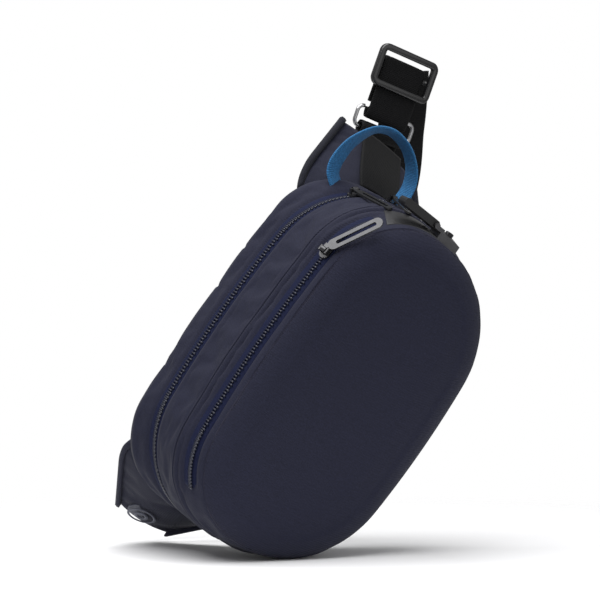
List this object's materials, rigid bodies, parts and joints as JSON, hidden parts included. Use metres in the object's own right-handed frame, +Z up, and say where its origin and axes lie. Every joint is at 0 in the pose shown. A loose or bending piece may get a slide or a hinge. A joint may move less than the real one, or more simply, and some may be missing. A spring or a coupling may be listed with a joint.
{
  "type": "hip pack",
  "caption": "Zipped hip pack with two compartments, zip lock, hip wings, carry loop, strap ring, slider buckle and webbing belt.",
  "frame": {"origin": "middle of the back pad's flat outer face", "axes": "+X to the right of somebody facing the bag, +Y towards the wearer, +Z up as worn"},
  "size_m": [0.4236, 0.1829, 0.1763],
  "materials": {
    "pad_mesh": "spacer mesh over foam",
    "shell_fabric": "fine coated twill, low sheen",
    "wing_fabric": "fine coated twill over foam",
    "piping": "bound seam",
    "lining": "thin lining",
    "steel_mesh": "fine wire mesh",
    "zip_tape": "woven tape",
    "zip_coil": "nylon coil",
    "dark_metal": "gunmetal",
    "black_metal": "black",
    "bright_metal": "polished nickel",
    "bright_wire": "polished wire",
    "webbing": "ribbed polyester webbing",
    "blue_webbing": "grosgrain webbing",
    "buckle_plastic": "satin moulded nylon",
    "latch_rubber": "soft-touch rubber",
    "badge": "raised rubber print"
  },
  "bodies": {
    "bag": {"back_pad": "pad_mesh", "rear_shell": "shell_fabric", "front_shell": "shell_fabric", "pocket_gusset": "shell_fabric", "front_panel": "shell_fabric", "front_piping": "piping", "slip_pocket": "lining", "slash_guard": "steel_mesh", "main_tape_rear": "zip_tape", "main_tape_front": "zip_tape", "main_zip_coil": "zip_coil", "front_tape_upper": "zip_tape", "front_tape_lower": "zip_tape", "front_zip_coil": "zip_coil", "lock_base": "dark_metal", "belt": "webbing"},
    "left_wing": {"left_wing": "wing_fabric", "wing_badge": "badge", "left_strap_tab": "webbing"},
    "right_wing": {"right_wing": "wing_fabric", "wing_webbing": "webbing", "clip_tab": "webbing"},
    "strap_ring": {"strap_ring": "bright_wire"},
    "front_strap": {"front_strap": "webbing"},
    "slider_buckle": {"slider_buckle": "buckle_plastic"},
    "carry_loop": {"carry_loop": "blue_webbing"},
    "main_slider_a": {"main_slider_a": "dark_metal"},
    "main_pull_a": {"main_pull_a": "bright_metal"},
    "main_slider_b": {"main_slider_b": "black_metal"},
    "main_pull_b": {"main_pull_b": "bright_metal"},
    "front_slider": {"front_slider": "bright_metal"},
    "front_pull": {"front_pull": "bright_metal"},
    "lock_latch": {"lock_latch": "latch_rubber"},
    "lock_button": {"lock_button": "black_metal"}
  },
  "joints": [
    {"name": "main_zip_a", "type": "hinge", "parent": "bag", "child": "main_slider_a", "pos_m": [0.062, -0.03, 0.00826], "axis": [0, 1, 0], "range_deg": [-46, 0]},
    {"name": "main_pull_a_lift", "type": "hinge", "parent": "main_slider_a", "child": "main_pull_a", "pos_m": [0.12781, -0.03089, 0.05434], "axis": [0.5736, 0, -0.8192], "range_deg": [-110, 0]},
    {"name": "main_zip_b", "type": "hinge", "parent": "bag", "child": "main_slider_b", "pos_m": [0.062, -0.03, 0.00826], "axis": [0, 1, 0], "range_deg": [0, 11]},
    {"name": "main_pull_b_lift", "type": "hinge", "parent": "main_slider_b", "child": "main_pull_b", "pos_m": [0.14086, -0.03089, 0.02359], "axis": [0.1908, 0, -0.9816], "range_deg": [-120, 0]},
    {"name": "front_zip", "type": "hinge", "parent": "bag", "child": "front_slider", "pos_m": [0, -0.075, -0.78651], "axis": [0, 1, 0], "range_deg": [-10, 0]},
    {"name": "front_pull_lift", "type": "hinge", "parent": "front_slider", "child": "front_pull", "pos_m": [0.07548, -0.0782, 0.07223], "axis": [0.0438, 0.866, 0.4981], "range_deg": [-140, 0]},
    {"name": "lock_latch_swing", "type": "hinge", "parent": "bag", "child": "lock_latch", "pos_m": [0.13766, -0.074, 0.009], "axis": [0, 1, 0], "range_deg": [0, 80]},
    {"name": "lock_button_press", "type": "slide", "parent": "bag", "child": "lock_button", "axis": [-1, 0, 0], "range_m": [0, 0.0015]},
    {"name": "left_wing_fold", "type": "hinge", "parent": "bag", "child": "left_wing", "pos_m": [-0.131, -0.001, 0], "axis": [0, 0, 1], "range_deg": [0, 45]},
    {"name": "right_wing_fold", "type": "hinge", "parent": "bag", "child": "right_wing", "pos_m": [0.131, -0.001, 0], "axis": [0, 0, 1], "range_deg": [-30, 0]},
    {"name": "ring_swing", "type": "hinge", "parent": "right_wing", "child": "strap_ring", "pos_m": [0.185, 0.0565, 0.018], "axis": [-0.2578, -0.0226, 0.9659], "range_deg": [-35, 0]},
    {"name": "strap_swing", "type": "hinge", "parent": "strap_ring", "child": "front_strap", "pos_m": [0.2004, 0.05785, 0.02214], "axis": [-0.2578, -0.0226, 0.9659], "range_deg": [-30, 0]},
    {"name": "buckle_tilt", "type": "hinge", "parent": "front_strap", "child": "slider_buckle", "pos_m": [0.23311, 0.06071, 0.03094], "axis": [-0.2578, -0.0226, 0.9659], "range_deg": [0, 25]},
    {"name": "loop_flop", "type": "hinge", "parent": "bag", "child": "carry_loop", "pos_m": [0.13295, -0.0115, 0.0385], "axis": [0.2545, 0, -0.9671], "range_deg": [-8, 35]}
  ]
}
